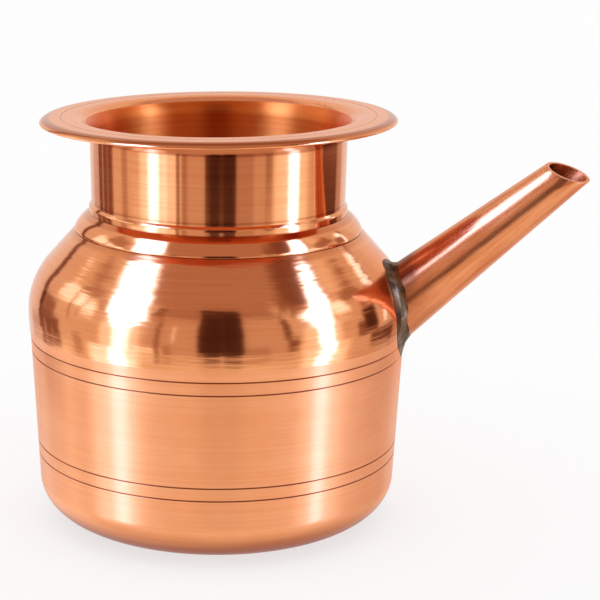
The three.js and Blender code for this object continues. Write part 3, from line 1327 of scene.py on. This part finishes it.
@dataclass
class SpoutSolder:
    """The lumpy grey fillet round the spout's root."""

    leg_on_body: float = 0.0028
    leg_swing: float = 0.0007
    leg_on_spout: float = 0.0026
    hollow: float = 0.32
    lump: float = 0.0009
    lump_pitch: float = 0.0045
    ripple: float = 0.45
    ripple_pitch: float = 0.6
    gap: float = 0.00006
    start_radius: float = 0.002
    section_points: int = 14
    sharp: float = 50.0

    def build(self, vessel: Vessel, spout: Spout) -> bpy.types.Object:
        """Shape a ring into the fillet between the wall and the tube, and dress it.

        Args:
            vessel: The vessel on one side of the fillet.
            spout: The spout on the other side.

        Returns:
            The finished piece.
        """
        Bench.clear()
        count, ring = Ring.SPOUT.value, self.section_points
        bpy.ops.mesh.primitive_torus_add(
            major_segments=count,
            minor_segments=ring,
            major_radius=spout.root_radius,
            minor_radius=self.start_radius,
        )
        piece = bpy.context.active_object
        piece.name = "solder_fillet"
        corners = piece.data.vertices
        for i in range(count):
            section = self._section(vessel, spout, FULL_TURN * i / count)
            for k, place in enumerate(section):
                corners[i * ring + k].co = place
        bpy.ops.object.mode_set(mode="EDIT")
        Bench.face_out()
        Bench.smooth(piece, self.sharp)
        Bench.dress(piece, [SolderFinish("spout_solder_tin").make()], lambda middle: 0)
        return Bench.keep(piece, "solder", "spout_solder")

    def _section(self, vessel: Vessel, spout: Spout, angle: float) -> list[Vector]:
        """Return one closed section of the fillet, starting in the joint's corner.

        Args:
            vessel: The vessel.
            spout: The spout.
            angle: Where it is round the tube, in radians.

        Returns:
            The section's points.
        """
        met = spout.meets(vessel, angle, self.gap, self.gap)
        corner = spout.point(met, spout.radius(met) + self.gap, angle)
        outward = Vector((corner.x, corner.y, 0.0)).normalized()
        away = spout.point(0.0, 1.0, angle) - spout.start
        away = (away - outward * away.dot(outward)).normalized()
        wobble = noise.noise(corner / self.lump_pitch)
        wobble_up = noise.noise(corner / self.lump_pitch + NOISE_SHIFT)
        leg = self.leg_on_body - self.leg_swing * math.sin(angle)
        foot = corner + away * (leg + self.lump * wobble)
        around = math.hypot(foot.x, foot.y)
        skin = vessel.radius_at(foot.z) + self.gap
        foot = Vector((foot.x * skin / around, foot.y * skin / around, foot.z))
        up = met + self.leg_on_spout + self.lump * wobble_up
        head = spout.point(up, spout.radius(up) + self.gap, angle)
        middle = (foot + head) / 2
        pull = middle.lerp(corner, self.hollow) * 2 - middle
        section = [corner, corner.lerp(foot, 0.5)]
        for t in Outline.shares(self.section_points - 4):
            curve = foot * ((1 - t) ** 2) + pull * (2 * t * (1 - t)) + head * (t * t)
            ripple = noise.noise(curve / (self.lump_pitch * self.ripple_pitch)) * math.sin(math.pi * t)
            section.append(curve + (curve - corner).normalized() * (ripple * self.lump * self.ripple))
        section.append(corner.lerp(head, 0.5))
        return section


@dataclass
class NeckSolder:
    """The ring of solder inside the lap of neck and body."""

    section: tuple[Vector, ...] = (
        Vector((0.03457, 0.08094)),
        Vector((0.03513, 0.08137)),
        Vector((0.03489, 0.08185)),
        Vector((0.03380, 0.08278)),
    )
    swell: Vector = at(-0.00014, -0.00006)
    sharp: float = 45.0

    def build(self) -> bpy.types.Object:
        """Spin the ring and dress it.

        Returns:
            The finished piece.
        """
        first, last = self.section[0], self.section[-1]
        loop = list(self.section)
        loop += [last.lerp(first, share) + self.swell for share in (0.25, 0.5, 0.75)]
        loop.append(first.copy())
        piece = Bench.outline("neck_solder_ring", Outline.stand(loop))
        Bench.turn(Ring.VESSEL.value, Vector(), UP)
        Bench.smooth(piece, self.sharp)
        Bench.dress(piece, [SolderFinish("neck_solder_tin").make()], lambda middle: 0)
        return Bench.keep(piece, "solder", "neck_solder")


# The studio


@dataclass(frozen=True)
class Card:
    """A light or dark card in the studio, seen from the pot, in degrees from the camera's side.

    The left and right edges are given at the horizon and lean by so many degrees for each degree of height.
    """

    left: float
    right: float
    low: float
    high: float
    level: float
    soft: float = 2.0
    lean_left: float = 0.0
    lean_right: float = 0.0
    fade: float = 2.0

    def across(self, azimuth: Value, elevation: Value) -> Value:
        """Return 1 from the card's left to its right edge and 0 beside it.

        Args:
            azimuth: Degrees to the right of the camera's side.
            elevation: Degrees above the horizon.

        Returns:
            The share of the card.
        """
        if self.lean_left == 0 and self.lean_right == 0:
            return azimuth.within(self.left, self.right, self.soft)
        left = azimuth - elevation * self.lean_left
        right = azimuth - elevation * self.lean_right
        rise = left.rises(self.left - self.soft, self.left + self.soft)
        return rise * right.rises(self.right + self.soft, self.right - self.soft)


# What the copper mirrors, as left, right, low and high edge, level, softness, leans and fade. A later card
# lies over an earlier one.

WALLS = (
    Card(-140, -44, -90, 90, 0.80, 6),
    Card(44, 140, -90, 90, 0.76, 6),
    Card(-44, 44, -90, 90, 0.66, 3),
    Card(-180, 180, -90, -19, 0.90, 2, fade=2.5),
    Card(-28, 34, -90, -19, 0.93, 8, fade=2.5),
    Card(-150, -100, -90, -18, 1.14, 6, fade=2.5),
    Card(-46, -33, -18, -8, 1.2, 2),
    Card(-150, -134, -17.5, -10, 0.68, 3),
    Card(127, 143, -17.5, -10, 0.52, 3),
    Card(90, 140, -90, -19, 0.71, 4, fade=2.5),
    Card(-36, 40, 35, 90, 0.44, 2),
    Card(-180, 180, 51, 90, 0.48, 2, fade=3),
)
LEFT_SIDE = (
    Card(-136.5, -129.7, -14, 8, 0.12, 1.2, -0.15, -0.15),
    Card(-136.5, -130.5, 6, 42, 0.18, 1.2, -0.4, -0.4),
    Card(-133, -109, -19, -2, 0.24, 2),
    Card(-127, -125.5, -19, -9, 0.70, 0.5),
    Card(-118, -117, -19, -9, 0.60, 0.5),
    Card(-130, -115.5, -4, 9, 0.34, 2),
    Card(-96, -89, -20, -7, 0.55, 1.5),
    Card(-122, -106, 15, 31, 1.5, 2, fade=3),
    Card(-104.6, -96, 17.5, 30, 1.7, 1.5, fade=3),
    Card(-94.4, -83.6, 15, 30, 1.6, 1.5, fade=3),
    Card(-112, -91.6, 31, 43, 0.50, 2),
    Card(-100.8, -99.8, 3, 34, 0.24, 0.5, -0.27, -0.27),
    Card(-96, -95.2, 8, 30, 0.40, 0.5),
    Card(-84, -50, -32, -15, 1.65, 4),
    Card(-69, -58, -32, -15, 2.8, 3),
    Card(-74, -48, -15, 15, 1.3, 3),
    Card(-65, -54.5, -15, 16, 2.45, 2.5),
    Card(-52, -46, -18, -8, 1.5, 2),
    Card(-57.8, -61, 14, 31, 3.2, 2.5, -0.68, 0.47, 3),
    Card(-59.3, -31.2, 30, 57, 3.2, 2.5, -0.62, -0.525),
    Card(-97, -69, 47, 61, 3.0, 2.5),
    Card(-88, -79, 27, 35.5, 0.60, 2),
    Card(-45.5, -36.5, 33, 48, 0.29, 1.5),
    Card(-38, -34.6, -20, 30, 0.34, 0.6),
    Card(-33, -28, -18, -6, 0.45, 1.5),
    Card(-27, -26, 3, 24, 1.4, 0.4),
)
RIGHT_SIDE = (
    Card(15.3, 31, -18, -5, 0.50, 1.5, fade=4),
    Card(40, 44.5, 5, 31, 0.18, 0.8),
    Card(42, 49, -13, 5, 0.25, 1.0),
    Card(47, 57.5, 32, 41, 0.36, 1.5),
    Card(50, 65, 41.5, 57, 0.28, 2, fade=2.5),
    Card(63, 95, 43, 66, 0.22, 2),
    Card(18.4, 20.6, 33, 52, 0.35, 0.8, 0.63, 0.63),
    Card(30, 30.9, 28, 46, 1.3, 0.4, 0.525, 0.525),
    Card(53, 84, -32, -15, 1.4, 4),
    Card(62.5, 72.5, -32, -15, 2.8, 3),
    Card(52, 79, -9, 15, 1.15, 3),
    Card(50, 86, -17, -8, 1.15, 5),
    Card(62.5, 72.5, -10, 16, 3.2, 2.5),
    Card(65.5, 75.5, -17, -9, 2.9, 2.5),
    Card(69, 71.5, 14, 31, 3.0, 2.5, -0.5, 0.25, 3),
    Card(24.5, 56, 30, 53, 3.2, 2.5, 1.1, 0.8),
    Card(80, 92.7, 18.6, 34.5, 1.6, 2, fade=3),
    Card(96, 108, 38, 47, 0.95, 2),
    Card(95, 115.5, 28, 38, 0.40, 2),
    Card(101.8, 108.6, 15, 23, 0.40, 1.5),
    Card(92, 99, -9, 3, 0.20, 1.5),
    Card(98.5, 111, -8, 13, 0.07, 1.5),
    Card(96.5, 106.5, 12, 30, 0.22, 1.5, 1.0, 1.0),
    Card(104.5, 131, -17.5, -10, 0.11, 2),
    Card(115.5, 123.4, 12, 26.6, 0.35, 1.5),
    Card(123.4, 129, 25, 30, 2.0, 1),
    Card(119, 122, -4, 30, 1.8, 0.8, 0.3, 0.3),
)
MIDDLE = (
    Card(-12, 15.5, -34, -16, 0.86, 2.5, fade=3),
    Card(-12, 15.5, -16, 50.2, 0.07, 0.9, fade=1.2),
    Card(-8, 1, -19, 38, 0.05, 1.5),
    Card(4, 14.5, -19, 48, 0.05, 1.2),
)


@dataclass
class Studio:
    """Camera, pale floor and the surroundings that the copper mirrors."""

    camera_at: tuple[float, float, float] = (0.08840, -0.53965, 0.19648)
    heading: float = 7.0
    pitch: float = 14.09
    roll: float = 0.876
    lens: float = 126.0
    sensor: float = 36.0
    floor_size: float = 8.0
    floor_drop: float = 0.0001
    floor_tone: float = 0.95
    floor_mottle: float = 0.02
    floor_scale: float = 3.0
    floor_glow: float = 0.7
    plain_level: float = 0.88
    warm_green: float = 1.5
    warm_blue: float = 1.65
    cool_lamps: float = 0.6

    def place_camera(self) -> None:
        """Put the camera where the photograph was taken from."""
        data = bpy.data.cameras.new("photo_camera")
        data.lens = self.lens
        data.sensor_width = self.sensor
        camera = bpy.data.objects.new("photo_camera", data)
        bpy.context.scene.collection.objects.link(camera)
        turn = Matrix.Rotation(math.radians(self.heading), 4, "Z")
        nod = Matrix.Rotation(math.radians(90 - self.pitch), 4, "X")
        roll = Matrix.Rotation(math.radians(self.roll), 4, "Z")
        camera.matrix_world = Matrix.Translation(self.camera_at) @ turn @ nod @ roll
        bpy.context.scene.camera = camera

    def lay_floor(self) -> None:
        """Lay a pale floor that keeps the pot's shadow."""
        Bench.clear()
        bpy.ops.mesh.primitive_plane_add(size=self.floor_size, location=(0.0, 0.0, -self.floor_drop))
        floor = bpy.context.active_object
        floor.name = "studio_floor"
        bpy.ops.object.transform_apply(location=True)
        floor.visible_glossy = False
        material, graph = Graph.material("pale_floor")
        x, y, _ = graph.place()
        mottle = graph.noise(graph.vector(x * self.floor_scale, y * self.floor_scale, 0.0), 0.0, 2.0)
        tone = mottle * self.floor_mottle + self.floor_tone
        matt = graph.add("ShaderNodeBsdfDiffuse", {}, {"Color": graph.colour(tone, tone, tone)})
        glow = graph.add("ShaderNodeEmission", {}, {"Color": (1, 1, 1, 1), "Strength": 1.0})
        inputs = {0: self.floor_glow, 1: matt.outputs[0], 2: glow.outputs[0]}
        graph.surface(graph.add("ShaderNodeMixShader", {}, inputs).outputs[0])
        floor.data.materials.append(material)
        Bench.clear()

    def hang_world(self) -> None:
        """Build the surroundings: white to the camera and to matt surfaces, cards to the copper."""
        world = bpy.data.worlds.new("studio_world")
        bpy.context.scene.world = world
        world.use_nodes = True
        graph = Graph(world.node_tree)
        way = graph.add("ShaderNodeTexCoord", {}, {}).outputs["Generated"]
        x, y, z = graph.parts(way)
        toward = Vector((self.camera_at[0], self.camera_at[1])).normalized()
        front = x * toward.x + y * toward.y
        right = y * toward.x - x * toward.y
        turn = graph.add("ShaderNodeMath", {"operation": "ARCTAN2"}, {0: right, 1: front})
        azimuth = graph.value(turn) * DEGREES
        rise = graph.add("ShaderNodeMath", {"operation": "ARCSINE"}, {0: z})
        elevation = graph.value(rise) * DEGREES
        level = self._level(azimuth, elevation)
        cool = level.most(1.0) ** self.cool_lamps
        tint = graph.colour(level, level**self.warm_green, level**self.warm_blue * cool)
        path = graph.add("ShaderNodeLightPath", {}, {})
        glossy = graph.value(path, "Is Glossy Ray")
        seen = graph.blend(glossy, (1, 1, 1, 1), tint)
        shader = graph.add("ShaderNodeBackground", {}, {"Color": seen, "Strength": 1.0})
        graph.add("ShaderNodeOutputWorld", {}, {"Surface": shader.outputs[0]})

    def _level(self, azimuth: Value, elevation: Value) -> Value:
        """Return the brightness of the surroundings in a direction.

        Args:
            azimuth: Degrees to the right of the camera's side.
            elevation: Degrees above the horizon.

        Returns:
            The brightness.
        """
        level: Any = self.plain_level
        windows: dict[tuple[float, float, float], Value] = {}
        for card in WALLS + LEFT_SIDE + RIGHT_SIDE + MIDDLE:
            heights = (card.low, card.high, card.fade)
            if heights not in windows:
                windows[heights] = elevation.within(*heights)
            share = windows[heights]
            if card.left > -180:
                share = share * card.across(azimuth, elevation)
            level = share.between(level, card.level)
        return level


def main() -> None:
    """Build the pot's pieces and the studio, and report each."""
    logging.basicConfig(level=logging.INFO, format="%(name)s: %(message)s")
    bpy.context.scene.view_settings.view_transform = "Standard"
    vessel = Vessel()
    spout = Spout()
    pieces = [
        vessel.build(spout),
        Neck().build(),
        spout.build(vessel),
        SpoutSolder().build(vessel, spout),
        NeckSolder().build(),
    ]
    for piece in pieces:
        log.info("%s: %d faces", piece.name, len(piece.data.polygons))
    studio = Studio()
    studio.place_camera()
    studio.lay_floor()
    studio.hang_world()


if __name__ == "__main__":
    main()
